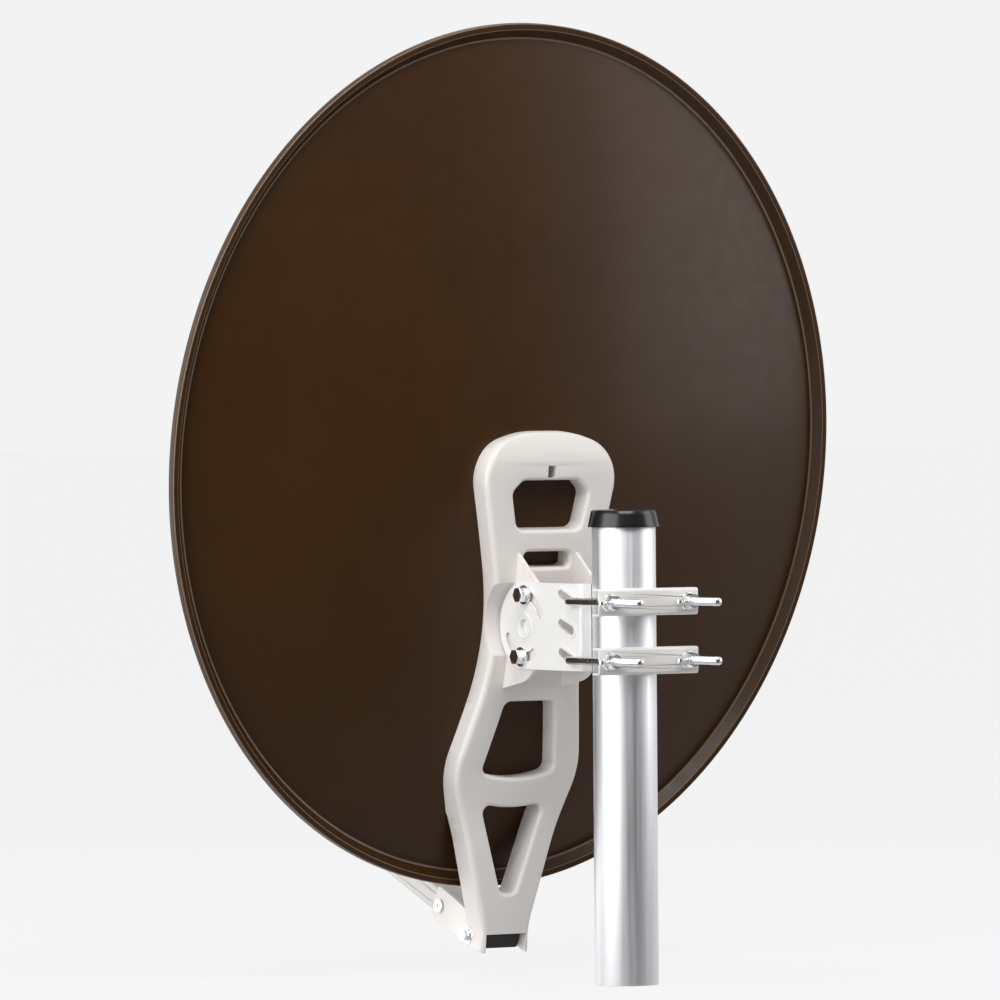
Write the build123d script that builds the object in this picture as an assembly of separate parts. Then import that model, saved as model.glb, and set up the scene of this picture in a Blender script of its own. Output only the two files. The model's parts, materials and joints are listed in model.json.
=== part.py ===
"""Offset satellite dish on a mast head, in millimetres.

The origin is the centre of the mast's foot, +Z runs up the mast and the dish faces +Y.
The dish is shown aimed 32 degrees above the horizon.
Four bodies: the mast, the clamp that turns round it, the dish that tilts on the clamp,
and the feed arm that folds up in front of the dish.
"""

import os
from math import asin, atan2, cos, radians, sin, sqrt, tan

from build123d import *

os.makedirs("parts", exist_ok=True)

# Mast and cap
MAST_RADIUS = 30.0
MAST_WALL = 2.0
MAST_LENGTH = 440.0
CAP_SKIRT_Z = 429.0
CAP_TOP_Z = 445.6
CAP_FOOT_RADIUS = 33.8
CAP_TOP_RADIUS = 30.6
CAP_DOME = 0.8

# Reflector: part of a paraboloid, cut by a plane that leans with the rim
FOCAL_LENGTH = 435.0
APERTURE_RADIUS = 360.0
OFFSET_ANGLE = 26.0
RIM_TILT = 6.0
RIM_CENTRE_Y = 198.0
RIM_CENTRE_Z = 494.0
RIM_LONG_RADIUS = 414.0
RIM_LIP_DEPTH = 10.0
SHELL_THICKNESS = 1.8

# Support spine behind the reflector
SPINE_DEPTH = 22.5
SPINE_ROUND = 6.0
WINDOW_ROUND = 4.0
CROWN_START = -6.0
CROWN_DROP = 16.0
SPINE_FOOT_BACK = 40.5
SPINE_FOOT_FRONT = 13.0
SPINE_WALL = 3.4
SPINE_TOP = 31.0
SPINE_BREAK = -292.0
SPINE_LEVEL = -354.0
SHELL_GAP = 0.15
WINDOW_FRAME = 3.0
BOSS_RADIUS = 7.0
SCREW_RADIUS = 2.6
SCREW_LENGTH = 18.0
SCREW_HEAD = 6.0
SCREW_SEAT = 1.6
SPINE_FOOT = -472.0
BACK_WALL_END = -454.0

# Elevation hinge between the mast bracket and the spine's cheeks
PIVOT_Y = 114.0
PIVOT_Z = 335.0
PIVOT_BOSS_RADIUS = 9.0
BOLT_CIRCLE = 29.5
CHEEK_OUTER = 34.6
CHEEK_WALL = 3.5
CHEEK_RADIUS = 43.0
RECESS_RADIUS = 44.5
SLOT_BELOW = 36.0
SLOT_ABOVE = 62.0

# Mast bracket, a folded sheet channel with a V that seats on the mast
BRACKET_HALF_WIDTH = 37.5
BRACKET_SHEET = 2.5
BRACKET_HALF_HEIGHT = 41.0
BRACKET_BACK_Y = 17.0
MAST_GAP = 0.3

# Clamp yokes, hook bolts and wing nuts
YOKE_HALF_LENGTH = 56.0
YOKE_HALF_HEIGHT = 12.7
YOKE_BACK_Y = -41.0
YOKE_SHEET = 2.0
YOKE_FLANGE = 12.0
ROD_RADIUS = 4.0
ROD_X = 44.0
ROD_TIP_Y = -93.0
ROD_LEG_Y = 32.5
ROD_LEG_X = 28.0
ROD_BEND = 6.5
ROD_LEVELS = {"upper": 359.3, "lower": 304.3}
HOOK_SLOT_SLOPE = 20.0
HOOK_SLOT_LENGTH = 19.0
HOOK_SLOT_WIDTH = 8.8
HOOK_PAD = 3.2
EMBOSS = 0.7
WASHER_RADIUS = 8.5
WASHER_THICKNESS = 1.6
WING_SPAN = 50.0
WING_HEIGHT = 20.0

# Hinge fasteners
PIVOT_FIT = 0.06
BOLT_FLATS = 13.0
FLANGE_RADIUS = 9.2
NUT_HEIGHT = 8.0
RIVET_RADIUS = 4.0
RIVET_FIT = 0.06
RIVET_HEAD = 7.4
LOCK_RADIUS = 3.0
LOCK_WASHER = 1.4

# Feed arm
ARM_PIVOT_Y = 282.6
ARM_PIVOT_Z = 62.9
ARM_RISE = 22.0
ARM_WIDTH = 42.0
ARM_HEIGHT = 24.0
ARM_WALL = 1.6
ARM_BEHIND = 70.0
ARM_AHEAD = 368.0
LUG_OUTER = 26.0
LUG_WALL = 3.4
LUG_TOE = (212.0, 21.8)
LUG_BEND = (273.0, 43.0)
LOCK_SCREW_Y = 232.9
LOCK_SCREW_Z = 37.1
LOCK_SPOT = 9.4

# Feed collar
COLLAR_BORE = 20.0
COLLAR_WALL = 4.5
COLLAR_LENGTH = 24.0
COLLAR_BEHIND_FOCUS = 3.0
COLLAR_SPLIT = 0.8
COLLAR_SCREW_X = 28.5
COLLAR_EAR = 14.0
COLLAR_EAR_LENGTH = 12.0
RISER_HALF_WIDTH = 13.0
RISER_FOOT = 18.0

SIDES = {"left": -1, "right": 1}

# Working sizes of the blocks that are trimmed to shape
TALL = 120.0
WIDE = 90.0

# ---------------------------------------------------------------- frames

# Dish frame: x across, y up the rim plane, z is the depth behind the rim plane
tilt = radians(RIM_TILT)
dish_frame = Plane(
    origin=(0, RIM_CENTRE_Y, RIM_CENTRE_Z),
    x_dir=(1, 0, 0),
    z_dir=(0, -cos(tilt), -sin(tilt)),
)

# Paraboloid inside the dish frame
lean = radians(OFFSET_ANGLE)
axis_drop = 2 * FOCAL_LENGTH * tan(lean)
edge_low = axis_drop - APERTURE_RADIUS
edge_high = axis_drop + APERTURE_RADIUS
rim_axial = (edge_low**2 + edge_high**2) / (8 * FOCAL_LENGTH)
beam = Vector(0, sin(lean), -cos(lean))
rise = Vector(0, cos(lean), sin(lean))
vertex = Vector(0, 0, -RIM_LIP_DEPTH) - rise * axis_drop - beam * rim_axial
focus = vertex + beam * FOCAL_LENGTH

RIM_RATIO = cos(lean)


def surface_depth(x, up):
    """Depth behind the rim plane of the reflecting surface at (x, up) of the dish frame."""
    depth = 0.0
    for _ in range(12):
        point = Vector(x, up, depth) - vertex
        height = point.dot(rise)
        miss = point.dot(beam) - (x * x + height * height) / (4 * FOCAL_LENGTH)
        slope = beam.Z - height * rise.Z / (2 * FOCAL_LENGTH)
        depth -= miss / slope
    return depth


def through(outline):
    """Extrude a dish-frame outline from in front of the rim plane to behind the spine."""
    return extrude(Pos(0, 0, -20) * outline, TALL, dir=(0, 0, 1))


def to_world(shape):
    return dish_frame.location * shape


def world_point(local):
    return dish_frame.from_local_coords(local)


def yz_prism(outline, x_from, x_to):
    """Extrude a (y, z) outline across the object between two x values."""
    return Pos(x_from, 0, 0) * extrude(Plane.YZ * outline, x_to - x_from)


def x_cylinder(y, z, radius, x_from, x_to):
    return yz_prism(Pos(y, z) * Circle(radius), x_from, x_to)


def save(shape, name):
    export_step(shape, "parts/" + name + ".step")


# ---------------------------------------------------------------- mast


def mast_tube():
    ring = Circle(MAST_RADIUS) - Circle(MAST_RADIUS - MAST_WALL)
    return extrude(ring, MAST_LENGTH)


def mast_cap():
    top_z = CAP_TOP_Z - CAP_DOME
    tip = (0, CAP_TOP_Z)
    shoulder = (CAP_TOP_RADIUS - 1.2, top_z)
    outline = [
        Line((0, MAST_LENGTH), (MAST_RADIUS, MAST_LENGTH)),
        Line((MAST_RADIUS, MAST_LENGTH), (MAST_RADIUS, CAP_SKIRT_Z)),
        Line((MAST_RADIUS, CAP_SKIRT_Z), (CAP_FOOT_RADIUS, CAP_SKIRT_Z)),
        Line((CAP_FOOT_RADIUS, CAP_SKIRT_Z), (CAP_TOP_RADIUS, top_z - 1.2)),
        Line((CAP_TOP_RADIUS, top_z - 1.2), shoulder),
        Spline(shoulder, tip, tangents=[(-1, 0.1), (-1, 0)]),
        Line(tip, (0, MAST_LENGTH)),
    ]
    return revolve(Plane.XZ * make_face(outline), Axis.Z)


# ---------------------------------------------------------------- mast bracket


def cheek_bolts():
    """The (y, z) places of the clamping bolts, on the dish's own up line."""
    up_y, up_z = -sin(tilt), cos(tilt)
    return {
        "upper": (PIVOT_Y + BOLT_CIRCLE * up_y, PIVOT_Z + BOLT_CIRCLE * up_z),
        "lower": (PIVOT_Y - BOLT_CIRCLE * up_y, PIVOT_Z - BOLT_CIRCLE * up_z),
    }


def elevation_slots():
    """Two arc slots, opposite each other on the bolt circle."""
    first = 90 + RIM_TILT - SLOT_BELOW
    sweep = SLOT_BELOW + SLOT_ABOVE
    slots = Sketch()
    for start in (first, first + 180):
        arc = CenterArc((PIVOT_Y, PIVOT_Z), BOLT_CIRCLE, start, sweep)
        slots += SlotArc(arc, 2 * ROD_RADIUS + 0.9)
    return slots


def hook_slots():
    """Three leaning slots, the outer two hold the hook bolts at their low end."""
    slots = Sketch()
    reach = HOOK_SLOT_LENGTH / 2
    slope = radians(HOOK_SLOT_SLOPE)
    middle = (ROD_LEVELS["upper"] + ROD_LEVELS["lower"]) / 2
    for level in (ROD_LEVELS["lower"], middle, ROD_LEVELS["upper"]):
        place = Pos(ROD_LEG_Y + reach * cos(slope), level + reach * sin(slope))
        slots += place * SlotCenterToCenter(HOOK_SLOT_LENGTH, HOOK_SLOT_WIDTH, HOOK_SLOT_SLOPE)
    return slots


def bracket_section():
    """Plan section of the folded channel: side legs, lands and the V seat."""
    seat = (MAST_RADIUS + MAST_GAP) * sqrt(2)
    floor_y = MAST_RADIUS + 3.5
    floor_x = floor_y - seat
    outer = Polyline(
        (BRACKET_HALF_WIDTH, PIVOT_Y),
        (BRACKET_HALF_WIDTH, BRACKET_BACK_Y),
        (seat - BRACKET_BACK_Y, BRACKET_BACK_Y),
        (-floor_x, floor_y),
        (floor_x, floor_y),
        (BRACKET_BACK_Y - seat, BRACKET_BACK_Y),
        (-BRACKET_HALF_WIDTH, BRACKET_BACK_Y),
        (-BRACKET_HALF_WIDTH, PIVOT_Y),
    )
    return sheet_band(outer, BRACKET_SHEET)


def sheet_band(path, thickness):
    """A closed face between an open path and its offset towards the dish."""
    corners = [v for v in path.vertices()]
    points = [(v.X, v.Y) for v in corners]
    shifted = []
    for index, (x, y) in enumerate(points):
        normals = []
        for first in (index - 1, index):
            if 0 <= first < len(points) - 1:
                dx = points[first + 1][0] - points[first][0]
                dy = points[first + 1][1] - points[first][1]
                length = sqrt(dx * dx + dy * dy)
                normals.append((dy / length, -dx / length))
        nx = sum(n[0] for n in normals) / len(normals)
        ny = sum(n[1] for n in normals) / len(normals)
        scale = thickness / (nx * nx + ny * ny)
        shifted.append((x + nx * scale, y + ny * scale))
    return make_face(Polyline(*points, *reversed(shifted), close=True))


def mast_bracket():
    height = 2 * BRACKET_HALF_HEIGHT
    channel = Pos(0, 0, PIVOT_Z - BRACKET_HALF_HEIGHT) * extrude(bracket_section(), height)
    corner = channel.edges().filter_by(Axis.Z).filter_by(
        lambda e: abs(abs(e.center().X) - BRACKET_HALF_WIDTH) < 0.1
        and abs(e.center().Y - BRACKET_BACK_Y) < 0.1
    )
    channel = fillet(corner, BRACKET_SHEET * 1.4)
    plates = Part()
    for side in SIDES.values():
        outer = side * BRACKET_HALF_WIDTH
        inner = side * (BRACKET_HALF_WIDTH - BRACKET_SHEET)
        plates += x_cylinder(PIVOT_Y, PIVOT_Z, BRACKET_HALF_HEIGHT, outer, inner)
    bracket = channel + plates
    reach = BRACKET_HALF_WIDTH + 5
    bracket -= yz_prism(elevation_slots(), -reach, reach)
    bracket -= yz_prism(hook_slots(), -reach, reach)
    for side in SIDES.values():
        inner = BRACKET_HALF_WIDTH - BRACKET_SHEET
        boss_tip = CHEEK_OUTER - CHEEK_WALL + 0.4
        bracket += x_cylinder(PIVOT_Y, PIVOT_Z, PIVOT_BOSS_RADIUS, side * inner, side * boss_tip)
        dimple = x_cylinder(
            PIVOT_Y, PIVOT_Z, PIVOT_BOSS_RADIUS - 2.2, side * reach, side * (boss_tip + 1.6)
        )
        bracket -= dimple
        ring = Circle(PIVOT_BOSS_RADIUS + 3.6) - Circle(PIVOT_BOSS_RADIUS + 1.4)
        outer = side * BRACKET_HALF_WIDTH
        bracket += yz_prism(Pos(PIVOT_Y, PIVOT_Z) * ring, outer, outer + side * EMBOSS)
        pads = offset(hook_slots(), HOOK_PAD) - hook_slots()
        bracket += yz_prism(pads, outer, outer + side * EMBOSS)
    return bracket


# ---------------------------------------------------------------- clamp hardware


def clamp_yoke(level):
    """A channel yoke behind the mast, its flanges cut to the mast."""
    height = 2 * YOKE_HALF_HEIGHT
    length = 2 * YOKE_HALF_LENGTH
    back = Box(length, YOKE_FLANGE, height, align=(Align.CENTER, Align.MIN, Align.CENTER))
    gap = height - 2 * YOKE_SHEET
    hollow = Box(length + 2, YOKE_FLANGE, gap, align=(Align.CENTER, Align.MIN, Align.CENTER))
    hollow = Pos(0, YOKE_SHEET, 0) * hollow
    edges = back.edges().filter_by(Axis.X).group_by(Axis.Y)[0]
    yoke = fillet(edges, 3.0) - hollow
    yoke = Pos(0, YOKE_BACK_Y, level) * yoke
    yoke -= Pos(0, 0, level) * Cylinder(MAST_RADIUS + MAST_GAP, height + 2)
    for side in SIDES.values():
        hole = Rot(90, 0, 0) * Cylinder(ROD_RADIUS + 0.4, 8)
        yoke -= Pos(side * ROD_X, YOKE_BACK_Y, level) * hole
    return yoke


def hook_bolt(side, level):
    """Threaded rod with a bent leg that reaches in through its slot."""
    turn = side * (ROD_X - ROD_BEND)
    path = Line((side * ROD_LEG_X, ROD_LEG_Y, level), (turn, ROD_LEG_Y, level))
    middle = ROD_BEND * (1 - sqrt(0.5))
    bend = ThreePointArc(
        (turn, ROD_LEG_Y, level),
        (side * (ROD_X - middle), ROD_LEG_Y - middle, level),
        (side * ROD_X, ROD_LEG_Y - ROD_BEND, level),
    )
    shank = Line((side * ROD_X, ROD_LEG_Y - ROD_BEND, level), (side * ROD_X, ROD_TIP_Y, level))
    route = Wire([path, bend, shank])
    section = Plane(origin=path @ 0, z_dir=(side, 0, 0)) * Circle(ROD_RADIUS)
    rod = sweep(section, route)
    tip = rod.faces().sort_by(Axis.Y)[0].edges()
    return chamfer(tip, 0.8)


def rod_washer(side, level):
    ring = Circle(WASHER_RADIUS) - Circle(ROD_RADIUS + 0.3)
    plane = Plane(origin=(side * ROD_X, YOKE_BACK_Y, level), x_dir=(1, 0, 0), z_dir=(0, -1, 0))
    return extrude(plane * ring, WASHER_THICKNESS)


def wing_nut(side, level):
    """Wing nut, its wings sweeping back along the rod."""
    half = WING_SPAN / 2
    hub = Cone(8.0, 6.6, 9.5, align=(Align.CENTER, Align.CENTER, Align.MIN))
    root = [(3, 1.5), (9, 1.5)]
    outer = [(half - 5, 8), (half, 14), (half, WING_HEIGHT), (half - 7, WING_HEIGHT)]
    inner = [(7, 9.5), (3, 9.5)]
    blade = make_face(Polyline(*root, *outer, *inner, close=True))
    corners = [v for v in blade.vertices() if v.X > half - 8]
    blade = fillet(corners, 3.0)
    blade = extrude(Plane.XZ * blade, 1.7, both=True)
    nut = hub + blade + mirror(blade, Plane.YZ)
    nut -= Cylinder(ROD_RADIUS + 0.05, 60)
    seat_y = YOKE_BACK_Y - WASHER_THICKNESS - 0.05
    place = Plane(origin=(side * ROD_X, seat_y, level), x_dir=(1, 0, 0), z_dir=(0, -1, 0))
    return place.location * nut


# ---------------------------------------------------------------- reflector


def parabola_band(top_shift, bottom_shift):
    """Face between two copies of the parabola, shifted along its own axis."""
    low, high = edge_low - 30, edge_high + 30

    def height(radius, shift):
        return radius * radius / (4 * FOCAL_LENGTH) + shift

    def curve(shift):
        control = ((low + high) / 2, low * high / (4 * FOCAL_LENGTH) + shift)
        return Bezier((low, height(low, shift)), control, (high, height(high, shift)))

    left = Line((low, height(low, bottom_shift)), (low, height(low, top_shift)))
    right = Line((high, height(high, bottom_shift)), (high, height(high, top_shift)))
    return make_face([curve(bottom_shift), right, curve(top_shift), left])


def paraboloid_slab(top_shift, bottom_shift):
    """The band turned round the beam axis, in the dish frame."""
    profile_plane = Plane(origin=vertex, x_dir=rise, z_dir=rise.cross(beam))
    band = profile_plane * parabola_band(top_shift, bottom_shift)
    axis = Axis(vertex, beam)
    return revolve(band.rotate(axis, -60), axis, 120)


def reflector_rim():
    """Lip and turned edge of the rim: the section of the long axis, squeezed across."""
    edge = APERTURE_RADIUS / cos(lean)
    lip = RIM_LIP_DEPTH
    outer = RIM_LONG_RADIUS
    sheet = SHELL_THICKNESS
    section = Polyline(
        (edge - 1.4, -lip + 1.3),
        (edge + 8.4, 0.6),
        (outer - 1.5, 0.6),
        (outer, -0.9),
        (outer, -8.0),
        (outer - sheet, -8.0),
        (outer - sheet, -1.4),
        (edge + 9.6, -1.4),
        (edge + 0.2, -lip - 0.5),
        (edge - 1.6, -lip - 0.5),
        close=True,
    )
    ring = revolve(Plane.XZ * make_face(section), Axis.Z)
    return scale(ring, by=(RIM_RATIO, 1, 1))


def reflector_screw_places():
    places = []
    for half_width, up in ((58.0, -12.0), (56.0, -292.0)):
        for side in SIDES.values():
            places.append((side * half_width, up))
    return places


def reflector():
    edge = APERTURE_RADIUS + 1.0
    ellipse = Ellipse(edge, edge / cos(lean))
    prism = Pos(0, 0, -RIM_LIP_DEPTH - 4) * extrude(ellipse, 100)
    shell = paraboloid_slab(0, -SHELL_THICKNESS) & prism
    dish = shell + reflector_rim()
    for x, up in reflector_screw_places():
        dish -= Pos(x, up, surface_depth(x, up)) * Cylinder(3.4, 20)
    return to_world(dish)


def screw_shank(x, up):
    shank = Cylinder(SCREW_RADIUS, SCREW_LENGTH, align=(Align.CENTER, Align.CENTER, Align.MIN))
    return to_world(Pos(x, up, surface_depth(x, up) - SCREW_SEAT) * shank)


def reflector_screws():
    """Four pan-head screws from the bowl into the bosses behind it."""
    solids = []
    for x, up in reflector_screw_places():
        head = Cylinder(SCREW_HEAD, 3.0, align=(Align.CENTER, Align.CENTER, Align.MAX))
        head = fillet(head.edges().group_by(Axis.Z)[0], 1.4)
        head = to_world(Pos(x, up, surface_depth(x, up) - SCREW_SEAT) * head)
        solids.append(head + screw_shank(x, up))
    return Compound(children=solids)


# ---------------------------------------------------------------- spine


def soft_path(corners):
    """Lines through the corners, each (x, y, radius) corner rounded by its own arc."""
    path = []
    last = Vector(corners[0][0], corners[0][1])
    for index in range(1, len(corners) - 1):
        x, y, radius = corners[index]
        corner = Vector(x, y)
        back = (last - corner).normalized()
        ahead = (Vector(corners[index + 1][0], corners[index + 1][1]) - corner).normalized()
        half = radians(back.get_angle(ahead)) / 2
        start = corner + back * (radius / tan(half))
        end = corner + ahead * (radius / tan(half))
        bisector = (back + ahead).normalized()
        middle = corner + bisector * (radius / sin(half) - radius)
        path.append(Line(last, start))
        path.append(ThreePointArc(start, middle, end))
        last = end
    path.append(Line(last, Vector(corners[-1][0], corners[-1][1])))
    return path


def spine_outline(inset):
    """Closed outline of the spine, or the same moved inwards by a wall."""
    crown = [(30, 31, 100), (62, 19, 34), (76, -8, 45)]
    flank = [(45, -165, 330), (72, -297, 75), (50, -360, 200), (27, -447, 90)]
    right = [(0, SPINE_TOP - inset, 0)]
    for half_width, up, radius in crown:
        across = half_width - inset * half_width / crown[-1][0]
        right.append((across, up - inset, radius - inset))
    for half_width, up, radius in flank:
        right.append((half_width - inset, up, radius - inset))
    right.append((LUG_OUTER + 1 - inset, SPINE_FOOT - 2 * inset, 0))
    half = soft_path(right)
    end = Vector(right[-1][0], right[-1][1])
    mirrored = [mirror(piece, Plane.YZ) for piece in half]
    return make_face([*half, Line(end, (-end.X, end.Y)), *mirrored])


def rounded(points, radius):
    return fillet(make_face(Polyline(*points, close=True)).vertices(), radius)


def window_outlines():
    """The five openings through the spine, as (half) outlines in the dish frame."""
    slot = rounded([(-4.5, -12), (4.5, -12), (4.5, 0), (-4.5, 0)], 1.2)
    top = rounded([(-36, -61), (36, -61), (43, -25), (31, -14), (-31, -14), (-43, -25)], 10)
    middle = rounded([(-26, -97), (26, -97), (26, -82), (-26, -82)], 5)
    sill = ThreePointArc((-41, -296), (0, -303), (41, -296))
    lower_sides = Polyline((41, -296), (27.5, -227), (-27.5, -227), (-41, -296))
    lower = make_face([sill, lower_sides])
    lower = fillet(lower.vertices(), 8)
    lintel = ThreePointArc((-36, -327), (0, -332), (36, -327))
    foot = make_face([lintel, Polyline((36, -327), (8, -415), (-8, -415), (-36, -327))])
    foot = fillet(foot.vertices(), 7)
    return {"slot": slot, "top": top, "middle": middle, "lower": lower, "foot": foot}


def spine_profile(inset):
    """Side section of the spine: x is up the rim plane, y the depth behind it.

    With an inset it is the hollow's section, open towards the dish.
    """
    top = SPINE_TOP + 6 + inset
    foot = -500.0 - inset
    ups = (CROWN_START, -150.0, SPINE_BREAK)
    back = [(up, surface_depth(0, up) + SPINE_DEPTH - inset) for up in ups]
    curve = ThreePointArc(*back)
    crown = TangentArc(back[0], (top, back[0][1] - CROWN_DROP), tangent=-(curve % 0))
    tail = TangentArc(back[-1], (SPINE_LEVEL, SPINE_FOOT_BACK - inset), tangent=curve % 1)
    if inset:
        front = [(foot, -15.0), (top, -15.0)]
    else:
        front = [(foot, SPINE_FOOT_FRONT), (-342.0, SPINE_FOOT_FRONT), (-300.0, 0.0), (top, 20.0)]
    rest = Polyline(tail @ 1, (foot, SPINE_FOOT_BACK - inset), *front, crown @ 1)
    return make_face([crown, curve, tail, rest])


def round_back_edges(solid, radius):
    """Round the sharp edges between the back and the walls, except across the foot."""
    back = [f for f in solid.faces() if f.normal_at().Z > 0.6 and f.center().Z > SPINE_FOOT_FRONT]
    walls = [f for f in solid.faces() if abs(f.normal_at().Z) < 0.05]
    wall_edges = [edge for wall in walls for edge in wall.edges()]
    edges = []
    for face in back:
        for edge in face.edges():
            across_foot = edge.center().Y < SPINE_FOOT + 1
            if edge in wall_edges and not across_foot:
                edges.append(edge)
    return fillet(edges, radius)


def side_prism(profile, half_width):
    """Extrude an (up, depth) profile across the dish frame."""
    plane = Plane(origin=(0, 0, 0), x_dir=(0, 1, 0), z_dir=(1, 0, 0))
    return extrude(plane * profile, half_width, both=True)


def cheek_outline():
    """One cheek in (y, z): an ear that rises to the spine's back, a round nose and a foot."""
    apex = Vector(129.5, 404.0)
    reach = apex - Vector(PIVOT_Y, PIVOT_Z)
    bearing = atan2(reach.Y, reach.X)
    spread = asin(CHEEK_RADIUS / reach.length)
    touch = bearing + radians(90) - spread
    start = (PIVOT_Y + CHEEK_RADIUS * cos(touch), PIVOT_Z + CHEEK_RADIUS * sin(touch))
    nose = (PIVOT_Y - CHEEK_RADIUS, PIVOT_Z)
    end_angle = radians(255)
    end = (PIVOT_Y + CHEEK_RADIUS * cos(end_angle), PIVOT_Z + CHEEK_RADIUS * sin(end_angle))
    toe = (124.0, 281.0)
    heel = (159.0, 274.5)
    path = [
        Line((apex.X, apex.Y), start),
        ThreePointArc(start, nose, end),
        ThreePointArc(end, (111.5, 286.0), toe),
        Polyline(toe, heel, (178.0, 274.5), (152.0, 404.0), (apex.X, apex.Y)),
    ]
    return make_face(path)


def lug_outline():
    """Foot lug in (y, z): carries the arm's rivet and its lock screw."""
    back = [(209.0, 21.5), (206.0, 66.0), (232.0, 74.0), (232.0, 59.5)]
    nose = [(257.0, 71.5), (283.0, 82.0), (292.0, 68.0), (295.0, 56.0), (292.0, 50.5)]
    return rounded([*back, *nose, LUG_BEND, LUG_TOE], 1.5)


def under_lugs():
    """Everything below the lugs' lower edge, which the side walls stop at."""
    return rounded([LUG_TOE, LUG_BEND, (LUG_BEND[0], 0.0), (LUG_TOE[0], 0.0)], 0.5)


def spine_pocket(windows):
    """What is hollowed from the dish side: everything inside the walls and window frames."""
    hollow = through(spine_outline(SPINE_WALL)) & side_prism(spine_profile(SPINE_WALL), WIDE)
    for window in windows.values():
        hollow -= through(offset(window, WINDOW_FRAME))
    for x, up in reflector_screw_places():
        hollow -= through(Pos(x, up) * Circle(BOSS_RADIUS))
    hollow = to_world(hollow)
    inner = CHEEK_OUTER - CHEEK_WALL
    for side in SIDES.values():
        radius = RECESS_RADIUS + SPINE_WALL
        hollow -= x_cylinder(PIVOT_Y, PIVOT_Z, radius, side * inner, side * WIDE)
        hollow -= yz_prism(cheek_outline(), side * inner, side * CHEEK_OUTER)
    return hollow


def spine():
    """Cast support: a hollow channel with windows, two hinge cheeks and two foot lugs."""
    windows = window_outlines()
    envelope = to_world(paraboloid_slab(200, -SHELL_THICKNESS - SHELL_GAP))
    block = through(spine_outline(0)) & side_prism(spine_profile(0), WIDE)
    block = round_back_edges(block, SPINE_ROUND)
    for name, window in windows.items():
        if name != "slot":
            block = round_back_edges(block - through(window), WINDOW_ROUND)
    body = to_world(block - through(windows["slot"])) - envelope
    for side in SIDES.values():
        body -= x_cylinder(PIVOT_Y, PIVOT_Z, RECESS_RADIUS, side * CHEEK_OUTER, side * WIDE)
    body -= spine_pocket(windows)
    inner = LUG_OUTER - LUG_WALL
    gap = Rectangle(2 * inner, BACK_WALL_END - SPINE_FOOT + 10, align=(Align.CENTER, Align.MAX))
    body -= to_world(through(Pos(0, BACK_WALL_END) * gap))
    for side in SIDES.values():
        cheek_inner = side * (CHEEK_OUTER - CHEEK_WALL)
        body += yz_prism(cheek_outline(), cheek_inner, side * CHEEK_OUTER) - envelope
        body += yz_prism(lug_outline(), side * inner, side * LUG_OUTER)
        body -= x_cylinder(LOCK_SCREW_Y, LOCK_SCREW_Z, LOCK_SPOT, side * LUG_OUTER, side * WIDE)
    body -= yz_prism(under_lugs(), -WIDE, WIDE)
    for y, z in cheek_bolts().values():
        body -= x_cylinder(y, z, ROD_RADIUS + 0.1, -WIDE, WIDE)
    body -= x_cylinder(PIVOT_Y, PIVOT_Z, PIVOT_BOSS_RADIUS + PIVOT_FIT, -WIDE, WIDE)
    body -= x_cylinder(ARM_PIVOT_Y, ARM_PIVOT_Z, RIVET_RADIUS, -WIDE, WIDE)
    body -= x_cylinder(LOCK_SCREW_Y, LOCK_SCREW_Z, LOCK_RADIUS, -WIDE, WIDE)
    for x, up in reflector_screw_places():
        body -= screw_shank(x, up)
    return body


# ---------------------------------------------------------------- hinge fasteners


def hexagon(across_flats):
    return RegularPolygon(across_flats / sqrt(3), 6)


def x_stack(side, face_x, y, z, sections):
    """Turned steps along X, starting at a face and going outwards from the middle."""
    solid = Part()
    reach = side * face_x
    for section, length in sections:
        step = Plane(origin=(reach, y, z), x_dir=(0, 1, 0), z_dir=(side, 0, 0)) * section
        solid += extrude(step, length)
        reach += side * length
    return solid


def elevation_bolt(side, level):
    """Hex flange bolt through the bracket's arc slot into the cheek."""
    y, z = cheek_bolts()[level]
    seat = BRACKET_HALF_WIDTH + 0.35
    tail = CHEEK_OUTER - CHEEK_WALL - NUT_HEIGHT - 3.0
    sections = [
        (Circle(ROD_RADIUS - 0.05), seat - tail),
        (Circle(FLANGE_RADIUS), 2.2),
        (Circle(FLANGE_RADIUS - 1.8), 0.8),
        (hexagon(BOLT_FLATS), 6.4),
    ]
    return x_stack(side, tail, y, z, sections)


def elevation_nut(side, level):
    """Flange nut on the inner face of the cheek."""
    y, z = cheek_bolts()[level]
    seat = CHEEK_OUTER - CHEEK_WALL
    bore = Circle(ROD_RADIUS)
    sections = [
        (hexagon(BOLT_FLATS) - bore, NUT_HEIGHT - 2.0),
        (Circle(FLANGE_RADIUS - 0.8) - bore, 2.0),
    ]
    return x_stack(side, seat - NUT_HEIGHT, y, z, sections)


def arm_rivet():
    """Tubular rivet through both lugs, the arm turns on it."""
    length = 2 * LUG_OUTER
    half = length / 2
    shank = x_cylinder(ARM_PIVOT_Y, ARM_PIVOT_Z, RIVET_RADIUS, -half, half)
    head = x_cylinder(ARM_PIVOT_Y, ARM_PIVOT_Z, RIVET_HEAD, half, half + 2.2)
    head = fillet(head.faces().sort_by(Axis.X)[-1].edges(), 1.6)
    rivet = shank + head + mirror(head, Plane.YZ)
    return rivet - x_cylinder(ARM_PIVOT_Y, ARM_PIVOT_Z, 1.6, -WIDE, WIDE)


def lock_screw(side):
    """Short screw that bears on the arm's side."""
    tail = ARM_WIDTH / 2 + 0.35
    seat = LUG_OUTER + LOCK_WASHER
    sections = [
        (Circle(LOCK_RADIUS), seat - tail),
        (Circle(LOCK_RADIUS + 3.4), 1.2),
        (hexagon(10.0), 4.6),
    ]
    return x_stack(side, tail, LOCK_SCREW_Y, LOCK_SCREW_Z, sections)


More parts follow.
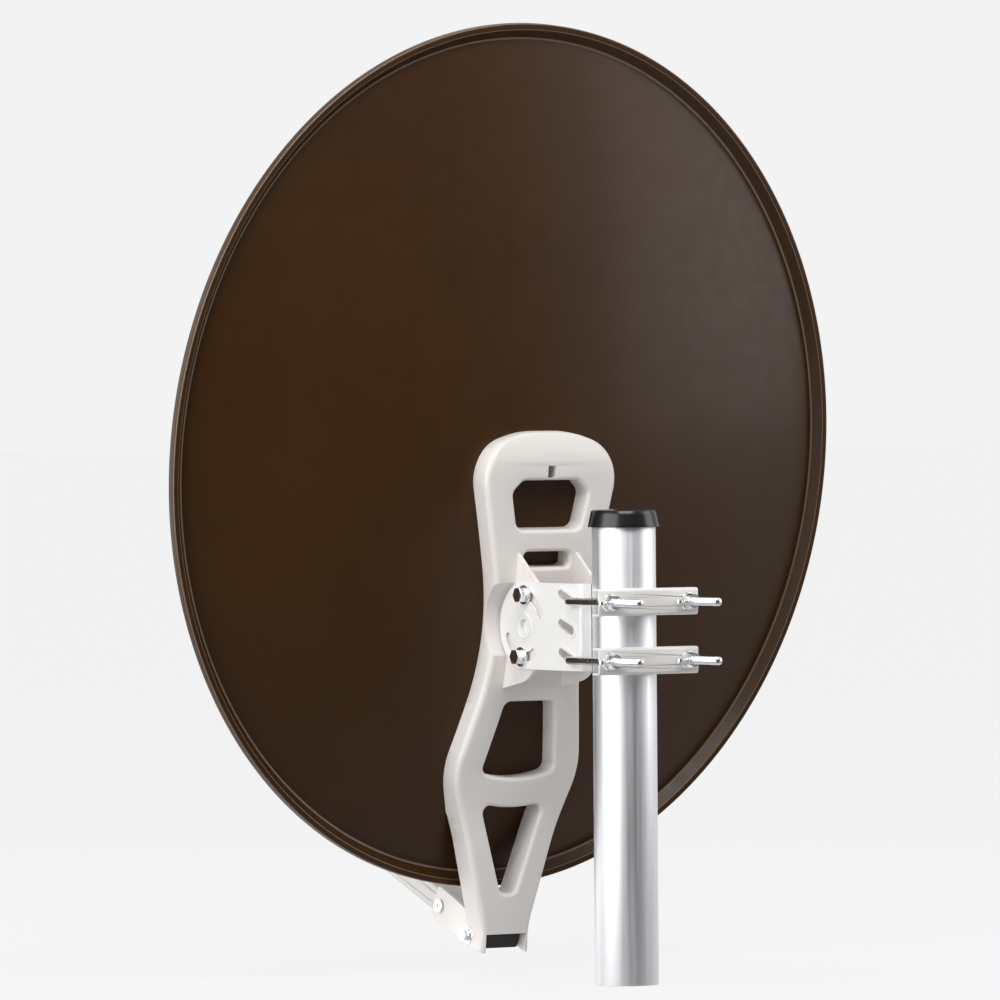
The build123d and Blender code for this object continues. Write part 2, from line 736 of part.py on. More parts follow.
def lock_washer(side):
    ring = Circle(9.0) - Circle(LOCK_RADIUS)
    return x_stack(side, LUG_OUTER, LOCK_SCREW_Y, LOCK_SCREW_Z, [(ring, LOCK_WASHER)])


# ---------------------------------------------------------------- feed arm

rise_angle = radians(ARM_RISE)
# Arm frame: x across, y along the arm from its rivet, z square to the arm
arm_frame = Plane(
    origin=(0, ARM_PIVOT_Y, ARM_PIVOT_Z),
    x_dir=(1, 0, 0),
    z_dir=(0, -sin(rise_angle), cos(rise_angle)),
)


def feed_axis():
    """Collar centre and the direction the feed leaves by, in world coordinates."""
    bowl = vertex + rise * axis_drop + beam * (axis_drop**2 / (4 * FOCAL_LENGTH))
    away = (world_point(focus) - world_point(bowl)).normalized()
    return world_point(focus) + away * COLLAR_BEHIND_FOCUS, away


def arm_box(width, height, start, end):
    section = Plane.XZ * RectangleRounded(width, height, 2.5)
    return Pos(0, start, 0) * extrude(section, -(end - start))


def feed_arm():
    """Rectangular tube, holed for its rivet."""
    tube = arm_box(ARM_WIDTH, ARM_HEIGHT, -ARM_BEHIND, ARM_AHEAD)
    bore = Pos(0, -ARM_BEHIND - 1, 0) * extrude(
        Plane.XZ * RectangleRounded(ARM_WIDTH - 2 * ARM_WALL, ARM_HEIGHT - 2 * ARM_WALL, 1.2),
        -(ARM_BEHIND + ARM_AHEAD + 2),
    )
    arm = arm_frame.location * (tube - bore)
    return arm - x_cylinder(ARM_PIVOT_Y, ARM_PIVOT_Z, RIVET_RADIUS + RIVET_FIT, -WIDE, WIDE)


def arm_rear_plug():
    """Moulded plug that closes the rear end of the arm."""
    cap = arm_box(ARM_WIDTH, ARM_HEIGHT, -ARM_BEHIND - 3.0, -ARM_BEHIND)
    width = ARM_WIDTH - 2 * ARM_WALL - 0.2
    height = ARM_HEIGHT - 2 * ARM_WALL - 0.2
    tongue = Pos(0, -ARM_BEHIND, 0) * extrude(Plane.XZ * RectangleRounded(width, height, 1.1), -14)
    return arm_frame.location * (cap + tongue)


def collar_frame():
    centre, away = feed_axis()
    return Plane(origin=centre, x_dir=(1, 0, 0), z_dir=away)


def half_collar(upper):
    """Half of the collar with its screw ears, split across the feed axis."""
    frame = collar_frame()
    ring = Circle(COLLAR_BORE + COLLAR_WALL)
    ears = RectangleRounded(2 * (COLLAR_SCREW_X + 5), COLLAR_EAR, 4)
    solid = extrude(ring, COLLAR_LENGTH / 2, both=True)
    solid += extrude(ears, COLLAR_EAR_LENGTH / 2, both=True)
    solid -= Cylinder(COLLAR_BORE, COLLAR_LENGTH + 2)
    side = 1 if frame.y_dir.Z < 0 else -1
    side = -side if upper else side
    half = 60
    keep = Pos(0, side * (half + COLLAR_SPLIT / 2), 0) * Box(4 * half, 2 * half, 2 * half)
    solid = solid & keep
    for place in SIDES.values():
        hole = Pos(place * COLLAR_SCREW_X, 0, 0) * Rot(90, 0, 0) * Cylinder(2.6, 60)
        solid -= hole
    return frame.location * solid


def riser_outline():
    """Web from the arm's end up to the collar, in (along, square to) the arm."""
    frame = collar_frame()
    under = -(COLLAR_BORE + COLLAR_WALL - 2)
    under = under if frame.y_dir.Z > 0 else -under
    ends = []
    for along in (COLLAR_LENGTH / 2 - 1, 1 - COLLAR_LENGTH / 2):
        tip = arm_frame.to_local_coords(frame.from_local_coords(Vector(0, under, along)))
        ends.append((tip.Y, tip.Z))
    half = ARM_HEIGHT / 2
    root = ARM_AHEAD + 2
    foot = [(root, half - 1), (root, 1 - half), (root + RISER_FOOT, 1 - half)]
    return make_face(Polyline(*foot, *ends, close=True))


def lnb_holder():
    """Moulded end of the arm with the fixed half of the collar."""
    width = ARM_WIDTH - 2 * ARM_WALL - 0.2
    height = ARM_HEIGHT - 2 * ARM_WALL - 0.2
    tongue = Pos(0, ARM_AHEAD - 30, 0) * extrude(Plane.XZ * RectangleRounded(width, height, 1.1), -31)
    flange = arm_box(ARM_WIDTH, ARM_HEIGHT, ARM_AHEAD, ARM_AHEAD + 5)
    riser = yz_prism(riser_outline(), -RISER_HALF_WIDTH, RISER_HALF_WIDTH)
    stem = arm_frame.location * (tongue + flange + riser)
    frame = collar_frame()
    clear = frame.location * Cylinder(COLLAR_BORE + COLLAR_WALL - 0.5, 4 * COLLAR_LENGTH)
    return (stem - clear) + half_collar(False)


def collar_screws():
    """Two pan-head screws that close the collar."""
    frame = collar_frame()
    side = 1 if frame.y_dir.Z > 0 else -1
    seat = COLLAR_EAR / 2
    bottom = (Align.CENTER, Align.CENTER, Align.MIN)
    solids = []
    for place in SIDES.values():
        shank = Pos(0, 0, -seat - 1) * Cylinder(2.5, COLLAR_EAR + 1, align=bottom)
        head = Pos(0, 0, seat) * Cylinder(4.6, 3.0, align=bottom)
        head = fillet(head.edges().group_by(Axis.Z)[-1], 1.2)
        screw = Rot(-90 * side, 0, 0) * (shank + head)
        solids.append(frame.location * (Pos(place * COLLAR_SCREW_X, 0, 0) * screw))
    return Compound(children=solids)


# ---------------------------------------------------------------- write every piece


def build():
    save(mast_tube(), "mast_tube")
    save(mast_cap(), "mast_cap")
    save(mast_bracket(), "mast_bracket")
    for level_name, level in ROD_LEVELS.items():
        save(clamp_yoke(level), "clamp_yoke_" + level_name)
        for side_name, side in SIDES.items():
            place = level_name + "_" + side_name
            save(hook_bolt(side, level), "hook_bolt_" + place)
            save(rod_washer(side, level), "rod_washer_" + place)
            save(wing_nut(side, level), "wing_nut_" + place)
    save(reflector(), "reflector")
    save(reflector_screws(), "reflector_screws")
    save(spine(), "spine")
    for level_name in cheek_bolts():
        for side_name, side in SIDES.items():
            place = level_name + "_" + side_name
            save(elevation_bolt(side, level_name), "elevation_bolt_" + place)
            save(elevation_nut(side, level_name), "elevation_nut_" + place)
    save(arm_rivet(), "arm_rivet")
    for side_name, side in SIDES.items():
        save(lock_screw(side), "lock_screw_" + side_name)
        save(lock_washer(side), "lock_washer_" + side_name)
    save(feed_arm(), "feed_arm")
    save(arm_rear_plug(), "arm_rear_plug")
    save(lnb_holder(), "lnb_holder")
    save(half_collar(True), "lnb_clamp_cap")
    save(collar_screws(), "collar_screws")


build()
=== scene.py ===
"""Satellite dish on a mast head: looks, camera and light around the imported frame. Metres."""

import json
import math

import bmesh
import bpy
from mathutils import Matrix, Vector


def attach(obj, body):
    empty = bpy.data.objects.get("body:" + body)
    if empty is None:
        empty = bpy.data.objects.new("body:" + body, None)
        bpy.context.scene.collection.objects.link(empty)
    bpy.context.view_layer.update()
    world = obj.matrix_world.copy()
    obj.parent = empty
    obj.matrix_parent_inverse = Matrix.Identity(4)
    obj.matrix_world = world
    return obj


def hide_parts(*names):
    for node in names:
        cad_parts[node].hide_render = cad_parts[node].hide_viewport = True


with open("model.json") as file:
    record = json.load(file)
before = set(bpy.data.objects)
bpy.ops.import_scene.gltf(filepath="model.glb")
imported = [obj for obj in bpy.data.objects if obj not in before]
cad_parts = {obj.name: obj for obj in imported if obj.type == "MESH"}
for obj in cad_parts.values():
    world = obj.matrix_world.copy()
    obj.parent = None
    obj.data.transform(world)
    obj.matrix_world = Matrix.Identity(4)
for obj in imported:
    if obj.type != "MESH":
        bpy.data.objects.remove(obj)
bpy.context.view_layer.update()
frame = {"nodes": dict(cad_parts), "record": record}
MM = 0.001

# ---------------------------------------------------------------- dish geometry

# The dish's own frame, in millimetres: x across, up along the rim plane, depth behind it.
FOCAL = 435.0
APERTURE = 360.0
LEAN = math.radians(26.0)
TILT = math.radians(6.0)
CENTRE = Vector((0, 198.0, 494.0))
LIP = 10.0
OUTER = 414.0
SHEET = 1.8
RATIO = math.cos(LEAN)
EDGE = APERTURE / RATIO
UP = Vector((0, -math.sin(TILT), math.cos(TILT)))
BACK = Vector((0, -math.cos(TILT), -math.sin(TILT)))
# The paraboloid's own axis, the direction across it, and its vertex.
BEAM = Vector((0, math.sin(LEAN), -math.cos(LEAN)))
RISE = Vector((0, math.cos(LEAN), math.sin(LEAN)))
DROP = 2 * FOCAL * math.tan(LEAN)
RIM_AXIAL = ((DROP - APERTURE) ** 2 + (DROP + APERTURE) ** 2) / (8 * FOCAL)
VERTEX = Vector((0, 0, -LIP)) - RISE * DROP - BEAM * RIM_AXIAL
DEPTH_ROUNDS = 8


def surface_depth(x, up):
    """Depth of the reflecting surface behind the rim plane, by Newton's method."""
    depth = 0.0
    for _ in range(DEPTH_ROUNDS):
        point = Vector((x, up, depth)) - VERTEX
        height = point.dot(RISE)
        miss = point.dot(BEAM) - (x * x + height * height) / (4 * FOCAL)
        depth -= miss / (BEAM.z - height * RISE.z / (2 * FOCAL))
    return depth


def dish_point(x, up, depth):
    """World place, in metres, of a point in the dish's own frame."""
    return (CENTRE + Vector((x, 0, 0)) + UP * up + BACK * depth) * MM


# ---------------------------------------------------------------- materials

DRIFT_SCALE = 9.0
CLOUD_SCALE = 60.0
COAT_ROUGHNESS = 0.14


def new_material(name):
    """A material with its node tree and its main shader."""
    mat = bpy.data.materials.new(name)
    mat.use_nodes = True
    tree = mat.node_tree
    return mat, tree, tree.nodes["Principled BSDF"]


def noise(tree, scale, detail, stretch=(1, 1, 1)):
    """A noise pattern on object coordinates; stretch lengthens its grain."""
    coords = tree.nodes.new("ShaderNodeTexCoord")
    mapping = tree.nodes.new("ShaderNodeMapping")
    mapping.inputs["Scale"].default_value = stretch
    tree.links.new(coords.outputs["Object"], mapping.inputs["Vector"])
    node = tree.nodes.new("ShaderNodeTexNoise")
    node.inputs["Scale"].default_value = scale
    node.inputs["Detail"].default_value = detail
    tree.links.new(mapping.outputs["Vector"], node.inputs["Vector"])
    return node.outputs["Fac"]


def ramp(tree, source, low, high, start=0.3, end=0.7):
    """The source's range from start to end, brought to low to high."""
    node = tree.nodes.new("ShaderNodeMapRange")
    node.inputs["From Min"].default_value = start
    node.inputs["From Max"].default_value = end
    node.inputs["To Min"].default_value = low
    node.inputs["To Max"].default_value = high
    tree.links.new(source, node.inputs["Value"])
    return node.outputs["Result"]


def add_drift(tree, shader, colour, spread, factor):
    """Base colour that wanders by a share of itself; no channel goes past 1."""
    node = tree.nodes.new("ShaderNodeMix")
    node.data_type = "RGBA"
    node.inputs["A"].default_value = (*(c * (1 - spread) for c in colour), 1)
    node.inputs["B"].default_value = (*(min(1.0, c * (1 + spread)) for c in colour), 1)
    tree.links.new(ramp(tree, factor, 0.0, 1.0), node.inputs["Factor"])
    tree.links.new(node.outputs["Result"], shader.inputs["Base Color"])


def add_bump(tree, shader, height, strength, distance):
    """Fine relief; distance is its height in metres."""
    node = tree.nodes.new("ShaderNodeBump")
    node.inputs["Strength"].default_value = strength
    node.inputs["Distance"].default_value = distance
    tree.links.new(height, node.inputs["Height"])
    tree.links.new(node.outputs["Normal"], shader.inputs["Normal"])


def painted(name, colour, spread, rough, peel, peel_depth, specular=0.5, coat=0.0):
    """Painted or moulded surface: faint colour drift, uneven gloss and a fine skin."""
    mat, tree, shader = new_material(name)
    add_drift(tree, shader, colour, spread, noise(tree, DRIFT_SCALE, 4.0))
    gloss = ramp(tree, noise(tree, CLOUD_SCALE, 2.0), rough - 0.03, rough + 0.04)
    tree.links.new(gloss, shader.inputs["Roughness"])
    add_bump(tree, shader, noise(tree, peel, 2.0), 0.5, peel_depth)
    shader.inputs["Specular IOR Level"].default_value = specular
    shader.inputs["Coat Weight"].default_value = coat
    shader.inputs["Coat Roughness"].default_value = COAT_ROUGHNESS
    return mat


def metal(name, colour, spread, rough, grain, depth, blotch=20.0, stretch=(1, 1, 1)):
    """Bare or plated metal: blotchy tint and a grain that stretch makes directional."""
    mat, tree, shader = new_material(name)
    shader.inputs["Metallic"].default_value = 1.0
    add_drift(tree, shader, colour, spread, noise(tree, blotch, 4.0))
    lines = noise(tree, grain, 3.0, stretch)
    gloss = ramp(tree, lines, rough - 0.06, rough + 0.08)
    tree.links.new(gloss, shader.inputs["Roughness"])
    add_bump(tree, shader, lines, 0.4, depth)
    return mat


def smooth_edges_with_painted_highlight(mat, colour, rough):
    """Smoother paint, and a lighter colour that is a painted highlight line, where the mesh's edge
    attribute marks a pressed edge.
    """
    tree = mat.node_tree
    shader = tree.nodes["Principled BSDF"]
    mark = tree.nodes.new("ShaderNodeAttribute")
    mark.attribute_name = "rim_gloss_and_painted_highlight"
    # The base colour goes to the lighter colour, a painted highlight; the roughness goes to the smoother
    # gloss.
    for name, kind, value in (("Base Color", "RGBA", (*colour, 1)), ("Roughness", "FLOAT", rough)):
        whole_paint = shader.inputs[name].links[0].from_socket
        node = tree.nodes.new("ShaderNodeMix")
        node.data_type = kind
        node.inputs["B"].default_value = value
        tree.links.new(mark.outputs["Fac"], node.inputs["Factor"])
        tree.links.new(whole_paint, node.inputs["A"])
        tree.links.new(node.outputs["Result"], shader.inputs[name])


brown = painted("dish_brown", (0.040, 0.0158, 0.0030), 0.08, 0.38, 900.0, 0.00005, 0.22, 0.05)
# The rim's pressed edges: a lighter brown painted on as highlight lines, and a lower roughness.
smooth_edges_with_painted_highlight(brown, (0.17, 0.12, 0.085), 0.13)
spine_paint = painted("spine_grey", (0.74, 0.705, 0.675), 0.012, 0.36, 420.0, 0.00005, 0.4)
arm_paint = painted("arm_grey", (0.62, 0.595, 0.57), 0.012, 0.36, 420.0, 0.00005, 0.4)
bracket_paint = painted("bracket_paint", (0.80, 0.795, 0.785), 0.012, 0.32, 300.0, 0.00005)
yoke_paint = painted("yoke_paint", (0.78, 0.755, 0.73), 0.015, 0.34, 300.0, 0.00005)
ALONG_MAST = (1, 1, 0.02)
mast_metal = metal("mast_aluminium", (0.88, 0.89, 0.91), 0.015, 0.46, 260.0, 0.00003, stretch=ALONG_MAST)
zinc = metal("zinc_plate", (0.86, 0.87, 0.88), 0.06, 0.17, 160.0, 0.00004, 120.0)
thread_metal = metal("zinc_thread", (0.84, 0.85, 0.87), 0.08, 0.20, 200.0, 0.00003, 150.0)
cast_zinc = metal("zinc_cast", (0.88, 0.89, 0.90), 0.06, 0.22, 130.0, 0.00022, 90.0)
cap_black = painted("cap_plastic", (0.008, 0.008, 0.009), 0.15, 0.22, 350.0, 0.00004)
plug_black = painted("plug_plastic", (0.010, 0.010, 0.011), 0.15, 0.38, 500.0, 0.00006)
holder_grey = painted("holder_plastic", (0.045, 0.045, 0.048), 0.10, 0.42, 500.0, 0.00008)

# The finish of each material slot in the record.
FINISH = {
    "mast_aluminium": mast_metal,
    "cap_plastic": cap_black,
    "bracket_paint": bracket_paint,
    "yoke_paint": yoke_paint,
    "zinc_plate": zinc,
    "zinc_thread": thread_metal,
    "zinc_cast": cast_zinc,
    "dish_brown": brown,
    "screw_brown": brown,
    "spine_grey": spine_paint,
    "arm_grey": arm_paint,
    "plug_plastic": plug_black,
    "holder_plastic": holder_grey,
}
slot_of = {part["node"]: part["material_slot"] for part in frame["record"]["subparts"]}
for node, obj in frame["nodes"].items():
    finish = FINISH[slot_of[node]]
    if not obj.material_slots:
        obj.data.materials.append(finish)
    for place in obj.material_slots:
        place.material = finish

# ---------------------------------------------------------------- helpers for pieces


def piece(name, verts, faces, body, slot):
    """A mesh object in world metres, finished and riding on its body."""
    mesh = bpy.data.meshes.new(name)
    mesh.from_pydata([tuple(v) for v in verts], [], faces)
    mesh.validate()
    bm = bmesh.new()
    bm.from_mesh(mesh)
    bmesh.ops.recalc_face_normals(bm, faces=bm.faces)
    bm.to_mesh(mesh)
    bm.free()
    mesh.polygons.foreach_set("use_smooth", [True] * len(mesh.polygons))
    obj = bpy.data.objects.new(name, mesh)
    bpy.context.scene.collection.objects.link(obj)
    mesh.materials.append(FINISH[slot])
    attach(obj, body)
    return obj


def round_corners(points, radii, steps):
    """A 2-D path with each inner corner made an arc of its own radius, in steps + 1 points."""
    out = [Vector(points[0])]
    for i in range(1, len(points) - 1):
        corner = Vector(points[i])
        back = Vector(points[i - 1]) - corner
        ahead = Vector(points[i + 1]) - corner
        half = back.angle(ahead) / 2
        reach = min(radii[i] / math.tan(half), 0.49 * back.length, 0.49 * ahead.length)
        radius = reach * math.tan(half)
        start = corner + back.normalized() * reach
        end = corner + ahead.normalized() * reach
        inward = (back.normalized() + ahead.normalized()).normalized()
        centre = corner + inward * (radius / math.sin(half))
        first, last = start - centre, end - centre
        turn = first.angle(last)
        for k in range(steps + 1):
            t = k / steps
            spoke = (first * math.sin((1 - t) * turn) + last * math.sin(t * turn)) / math.sin(turn)
            out.append(centre + spoke)
    out.append(Vector(points[-1]))
    return out


def rings_to_faces(rings, count):
    """Four-sided faces between rings of count points each."""
    faces = []
    for i in range(rings - 1):
        for j in range(count):
            here, ahead = i * count + j, i * count + (j + 1) % count
            faces.append((here, ahead, ahead + count, here + count))
    return faces


# ---------------------------------------------------------------- reflector

AROUND = 288
RADIAL = 44
POLE_SHARE = 0.012
BOWL_LIMIT = EDGE - 6.0
SLOPE_STEP = 0.5
ARC_STEPS = 5
# Corners of the lip that carry the painted highlight lines and the smoother gloss.
HIGHLIGHT_CORNERS = 3


def bowl_point(radius, angle, shift):
    """A point of the bowl, moved off the reflecting surface along its normal by shift."""
    x = radius * RATIO * math.cos(angle)
    up = radius * math.sin(angle)
    depth = surface_depth(x, up)
    step = SLOPE_STEP
    slope_x = (surface_depth(x + step, up) - surface_depth(x - step, up)) / (2 * step)
    slope_up = (surface_depth(x, up + step) - surface_depth(x, up - step)) / (2 * step)
    normal = Vector((-slope_x, -slope_up, 1)).normalized()
    return dish_point(*(Vector((x, up, depth)) + normal * shift))


def lip_profile(angle):
    """Section of the lip and the turned rim at an angle, as radius and depth."""

    def bowl_depth(radius):
        return surface_depth(radius * RATIO * math.cos(angle), radius * math.sin(angle))

    # Radius, depth and corner radius: from the back skin over the lip, round the rim's hem,
    # and under them to the front skin.
    section = [
        (EDGE - 5.0, bowl_depth(EDGE - 5.0) + SHEET, 0),
        (EDGE - 1.0, -8.4, 2.2),
        (EDGE + 7.4, 0.7, 1.2),
        (OUTER - 0.1, 0.7, 1.2),
        (OUTER, -8.0, 0.5),
        (OUTER - SHEET, -8.0, 0.5),
        (OUTER - SHEET, -1.2, 0.6),
        (EDGE + 9.0, -1.2, 0.8),
        (EDGE + 0.9, -10.4, 1.0),
        (EDGE - 4.0, bowl_depth(EDGE - 4.0), 0),
    ]
    points = [(radius, depth) for radius, depth, _ in section]
    return round_corners(points, [corner for _, _, corner in section], ARC_STEPS)


def reflector_skin():
    """Pressed bowl with its lip and turned rim, as one closed skin."""
    angles = [2 * math.pi * j / AROUND for j in range(AROUND)]
    shares = [POLE_SHARE + (1 - POLE_SHARE) * i / RADIAL for i in range(RADIAL)]
    bowl_radii = [EDGE * share for share in shares if EDGE * share < BOWL_LIMIT]
    profiles = [lip_profile(angle) for angle in angles]

    rows = [[bowl_point(radius, angle, SHEET) for angle in angles] for radius in bowl_radii]
    for k in range(len(profiles[0])):
        rows.append([
            dish_point(
                profile[k].x * RATIO * math.cos(angle), profile[k].x * math.sin(angle), profile[k].y
            )
            for angle, profile in zip(angles, profiles)
        ])
    for radius in reversed(bowl_radii):
        rows.append([bowl_point(radius, angle, 0.0) for angle in angles])

    verts = [point for row in rows for point in row]
    faces = rings_to_faces(len(rows), AROUND)
    pole_back = len(verts)
    pole_front = pole_back + 1
    verts.append(bowl_point(0.0, 0.0, SHEET))
    verts.append(bowl_point(0.0, 0.0, 0.0))
    last = (len(rows) - 1) * AROUND
    for j in range(AROUND):
        ahead = (j + 1) % AROUND
        faces.append((pole_back, j, ahead))
        faces.append((pole_front, last + ahead, last + j))

    # The painted highlight and the smoother gloss are on the rows inside the arcs of the first corners,
    # not on the rows that end them.
    highlight_rows = set()
    for corner in range(HIGHLIGHT_CORNERS):
        arc = len(bowl_radii) + 1 + corner * (ARC_STEPS + 1)
        highlight_rows.update(range(arc + 1, arc + ARC_STEPS))
    highlight_mask = [float(row in highlight_rows) for row in range(len(rows)) for _ in angles] + [0.0, 0.0]

    skin = piece("reflector_skin", verts, faces, "dish", "dish_brown")
    # Mask of the painted highlight and the smoother gloss on the rim's pressed edges.
    mark = skin.data.attributes.new("rim_gloss_and_painted_highlight", "FLOAT", "POINT")
    mark.data.foreach_set("value", highlight_mask)
    return skin


skin = reflector_skin()
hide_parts("reflector")

# ---------------------------------------------------------------- threaded rods

# Hook bolts, in millimetres: a bent leg held in the bracket, and a shank that runs to -Y.
ROD_X = 44.0
ROD_R = 4.0
ROD_LEG_X = 28.0
ROD_LEG_Y = 32.5
ROD_BEND = 6.5
ROD_BEND_STEPS = 8
ROD_TIP = -93.0
ROD_AROUND = 28
SHANK_R = ROD_R - 0.25
CHAMFER_R = ROD_R - 0.9
TIP_R = ROD_R - 1.4
CLOSED_R = 0.01
LEG_CHAMFER = 0.7
TIP_CHAMFER = 0.5
TIP_PLAIN = 0.8
BEND_LEAD = 1.0
THREAD_LEAD = 1.2
THREAD_FROM = -26.0
THREAD_LENGTH = THREAD_FROM - ROD_TIP - TIP_PLAIN
THREAD_DEPTH = 0.62
THREAD_RISE = 0.22
THREAD_RUN_IN = 2.0
THREAD_FLAT = 0.12
PITCH = 1.25
ROWS_PER_TURN = 5
LEVELS = {"upper": 359.3, "lower": 304.3}
SIDES = {"left": -1, "right": 1}


def tube_rows(rings):
    """Points round a centreline, from rings of centre, direction and radius."""
    rows = []
    for centre, direction, radius in rings:
        first = (Vector((0, 0, 1)) - direction * direction.z).normalized()
        second = direction.cross(first)
        row = []
        for j in range(ROD_AROUND):
            angle = 2 * math.pi * j / ROD_AROUND
            r = radius(angle) if callable(radius) else radius
            row.append((centre + first * (r * math.cos(angle)) + second * (r * math.sin(angle))) * MM)
        rows.append(row)
    return rows


def thread_radius(travel, crest, depth):
    """Radius of a helical thread at a travel along the rod, as a function of the angle."""

    def radius(angle):
        turn = (travel / PITCH - angle / (2 * math.pi)) % 1.0
        wave = abs(2 * turn - 1)
        cut = min(1.0, max(0.0, (wave - THREAD_FLAT) / (1 - 2 * THREAD_FLAT)))
        return crest - depth * cut

    return radius


def threaded_rod(level_name, side_name):
    """One hook bolt: chamfered leg, bend, plain shank, thread that runs in, chamfered tip."""
    level, side = LEVELS[level_name], SIDES[side_name]
    rings = []

    def add(point, direction, radius):
        rings.append((Vector(point), Vector(direction).normalized(), radius))

    start = side * ROD_LEG_X
    turn = side * (ROD_X - ROD_BEND)
    add((start, ROD_LEG_Y, level), (side, 0, 0), CLOSED_R)
    add((start, ROD_LEG_Y, level), (side, 0, 0), CHAMFER_R)
    add((start + side * LEG_CHAMFER, ROD_LEG_Y, level), (side, 0, 0), SHANK_R)
    add((turn - side * BEND_LEAD, ROD_LEG_Y, level), (side, 0, 0), SHANK_R)
    for k in range(ROD_BEND_STEPS + 1):
        t = math.pi / 2 * k / ROD_BEND_STEPS
        x = turn + side * ROD_BEND * math.sin(t)
        y = ROD_LEG_Y - ROD_BEND * (1 - math.cos(t))
        add((x, y, level), (side * math.cos(t), -math.sin(t), 0), SHANK_R)
    x = side * ROD_X
    add((x, THREAD_FROM + THREAD_LEAD, level), (0, -1, 0), SHANK_R)
    steps = int(THREAD_LENGTH / PITCH * ROWS_PER_TURN)
    for k in range(steps + 1):
        travel = THREAD_LENGTH * k / steps
        grow = min(1.0, travel / THREAD_RUN_IN)
        thread = thread_radius(travel, SHANK_R + THREAD_RISE * grow, THREAD_DEPTH * grow)
        add((x, THREAD_FROM - travel, level), (0, -1, 0), thread)
    add((x, ROD_TIP + TIP_CHAMFER, level), (0, -1, 0), CHAMFER_R)
    add((x, ROD_TIP, level), (0, -1, 0), TIP_R)
    add((x, ROD_TIP, level), (0, -1, 0), CLOSED_R)

    rows = tube_rows(rings)
    verts = [point for row in rows for point in row]
    faces = rings_to_faces(len(rows), ROD_AROUND)
    name = "rod_" + level_name + "_" + side_name
    obj = piece(name, verts, faces, "clamp", "zinc_thread")
    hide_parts("hook_bolt_" + level_name + "_" + side_name)


for level_name in LEVELS:
    for side_name in SIDES:
        threaded_rod(level_name, side_name)

# ---------------------------------------------------------------- smooth edges on CAD nodes

WELD_GAP = 0.00001
EDGE_ROUND = 0.0008
SHEET_EDGE_ROUND = 0.0005
SHEET_NODES = ("mast_bracket", "clamp_yoke_upper", "clamp_yoke_lower")
SHARP_ANGLE = math.radians(38)

for node, obj in frame["nodes"].items():
    if obj.hide_render:
        continue
    weld = obj.modifiers.new("weld", "WELD")
    weld.merge_threshold = WELD_GAP
    # These screws' heads are rounded in CAD already.
    if node == "reflector_screws":
        continue
    bevel = obj.modifiers.new("edge", "BEVEL")
    bevel.width = SHEET_EDGE_ROUND if node in SHEET_NODES else EDGE_ROUND
    bevel.segments = 2
    bevel.limit_method = "ANGLE"
    bevel.angle_limit = SHARP_ANGLE

# ---------------------------------------------------------------- floor, light, camera

scene = bpy.context.scene
scene.view_settings.view_transform = "Standard"

FLOOR_SPAN = 60.0
FLOOR_DROP = 0.0006
FLOOR_GLOW = 0.845
BACKDROP = 0.896
ROOM_STRENGTH = 0.85


def pale_floor():
    """A plain floor that mostly glows, so that it meets the backdrop without a line."""
    mesh = bpy.data.meshes.new("floor")
    corners = [(-1, -1), (1, -1), (1, 1), (-1, 1)]
    mesh.from_pydata(
        [(x * FLOOR_SPAN, y * FLOOR_SPAN, -FLOOR_DROP) for x, y in corners], [], [(0, 1, 2, 3)]
    )
    mat, _, shader = new_material("floor")
    shader.inputs["Base Color"].default_value = (0.06, 0.06, 0.06, 1)
    shader.inputs["Roughness"].default_value = 0.9
    shader.inputs["Specular IOR Level"].default_value = 0.0
    shader.inputs["Emission Color"].default_value = (1, 1, 1, 1)
    shader.inputs["Emission Strength"].default_value = FLOOR_GLOW
    mesh.materials.append(mat)
    obj = bpy.data.objects.new("floor", mesh)
    obj.visible_glossy = False
    obj.visible_diffuse = False
    scene.collection.objects.link(obj)
    return obj


floor = pale_floor()


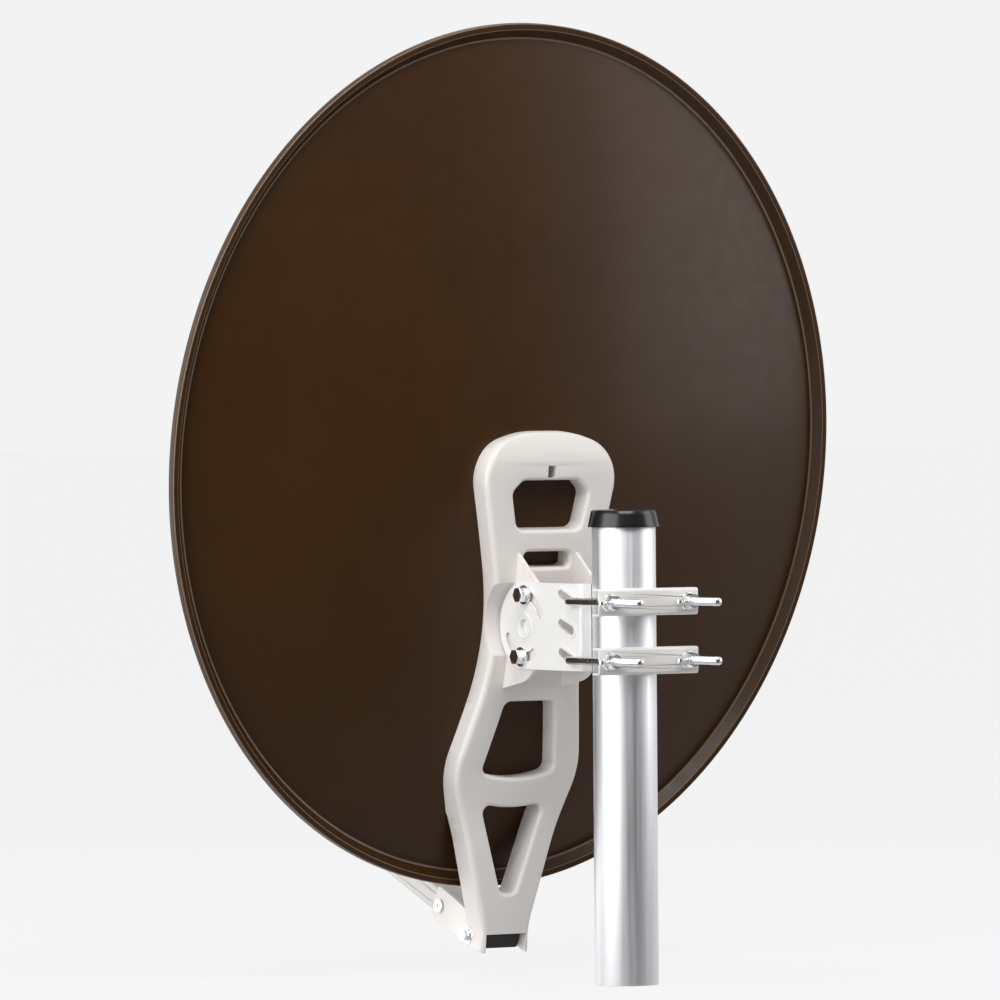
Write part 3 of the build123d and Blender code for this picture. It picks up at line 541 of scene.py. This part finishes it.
def studio_world():
    """Even backdrop for the camera; other rays see a room bright ahead of the dish and low down."""
    world = bpy.data.worlds.new("studio")
    world.use_nodes = True
    tree = world.node_tree
    tree.nodes.clear()
    coords = tree.nodes.new("ShaderNodeTexCoord")
    towards = tree.nodes.new("ShaderNodeVectorMath")
    towards.operation = "DOT_PRODUCT"
    towards.inputs[1].default_value = (0.15, 0.80, 0.42)
    tree.links.new(coords.outputs["Generated"], towards.inputs[0])
    split = tree.nodes.new("ShaderNodeSeparateXYZ")
    tree.links.new(coords.outputs["Generated"], split.inputs["Vector"])
    sky = ramp(tree, towards.outputs["Value"], 0.05, 1.0, -0.85, 0.7)
    bounce = ramp(tree, split.outputs["Z"], 0.0, 0.55, -0.15, -0.8)
    total = tree.nodes.new("ShaderNodeMath")
    tree.links.new(sky, total.inputs[0])
    tree.links.new(bounce, total.inputs[1])
    room = tree.nodes.new("ShaderNodeBackground")
    room.inputs["Strength"].default_value = ROOM_STRENGTH
    tree.links.new(total.outputs["Value"], room.inputs["Color"])
    backdrop = tree.nodes.new("ShaderNodeBackground")
    backdrop.inputs["Color"].default_value = (BACKDROP, BACKDROP, BACKDROP, 1)
    path = tree.nodes.new("ShaderNodeLightPath")
    choice = tree.nodes.new("ShaderNodeMixShader")
    tree.links.new(path.outputs["Is Camera Ray"], choice.inputs["Fac"])
    tree.links.new(room.outputs["Background"], choice.inputs[1])
    tree.links.new(backdrop.outputs["Background"], choice.inputs[2])
    out = tree.nodes.new("ShaderNodeOutputWorld")
    tree.links.new(choice.outputs["Shader"], out.inputs["Surface"])
    return world


scene.world = studio_world()

# Name, place from the middle of the object, size of the panel and power in watts.
MIDDLE = Vector((0, 0.1, 0.45))
LIGHTS = [
    ("key", (-3.2, -0.5, 0.5), (3.2, 3.4), 108),
    ("right", (2.7, -1.5, 1.0), (1.8, 2.6), 34),
    ("front_left", (-1.6, 2.6, 0.4), (1.6, 2.4), 19),
    ("top", (-0.8, -1.9, 2.8), (2.4, 1.6), 76),
]


def soft_light(name, place, size, power):
    """A panel light aimed at the middle of the object, and out of the camera's sight."""
    data = bpy.data.lights.new(name, "AREA")
    data.shape = "RECTANGLE"
    data.size, data.size_y = size
    data.energy = power
    obj = bpy.data.objects.new(name, data)
    scene.collection.objects.link(obj)
    obj.location = MIDDLE + Vector(place)
    obj.rotation_euler = (MIDDLE - obj.location).to_track_quat("-Z", "Y").to_euler()
    obj.visible_camera = False


for light in LIGHTS:
    soft_light(*light)

YAW = math.radians(33.27)
PITCH_DOWN = math.radians(0.73)
ROLL = math.radians(0.43)
DISTANCE = 9.0
AIM_HEIGHT = 0.45498
AIM_RIGHT = -0.11558


def set_camera():
    """A long-lens camera behind the dish, nearly level."""
    right = Vector((math.cos(YAW), -math.sin(YAW), 0))
    forward = Vector((
        math.sin(YAW) * math.cos(PITCH_DOWN),
        math.cos(YAW) * math.cos(PITCH_DOWN),
        -math.sin(PITCH_DOWN),
    ))
    above = right.cross(forward)
    rolled_right = right * math.cos(ROLL) - above * math.sin(ROLL)
    rolled_up = above * math.cos(ROLL) + right * math.sin(ROLL)
    place = Vector((0, 0, AIM_HEIGHT)) + right * AIM_RIGHT - forward * DISTANCE
    data = bpy.data.cameras.new("camera")
    data.sensor_width = 36.0
    data.lens = 345.93
    data.clip_end = 200
    camera = bpy.data.objects.new("camera", data)
    scene.collection.objects.link(camera)
    turn = Matrix((rolled_right, rolled_up, -forward)).transposed().to_4x4()
    camera.matrix_world = Matrix.Translation(place) @ turn
    scene.camera = camera


set_camera()
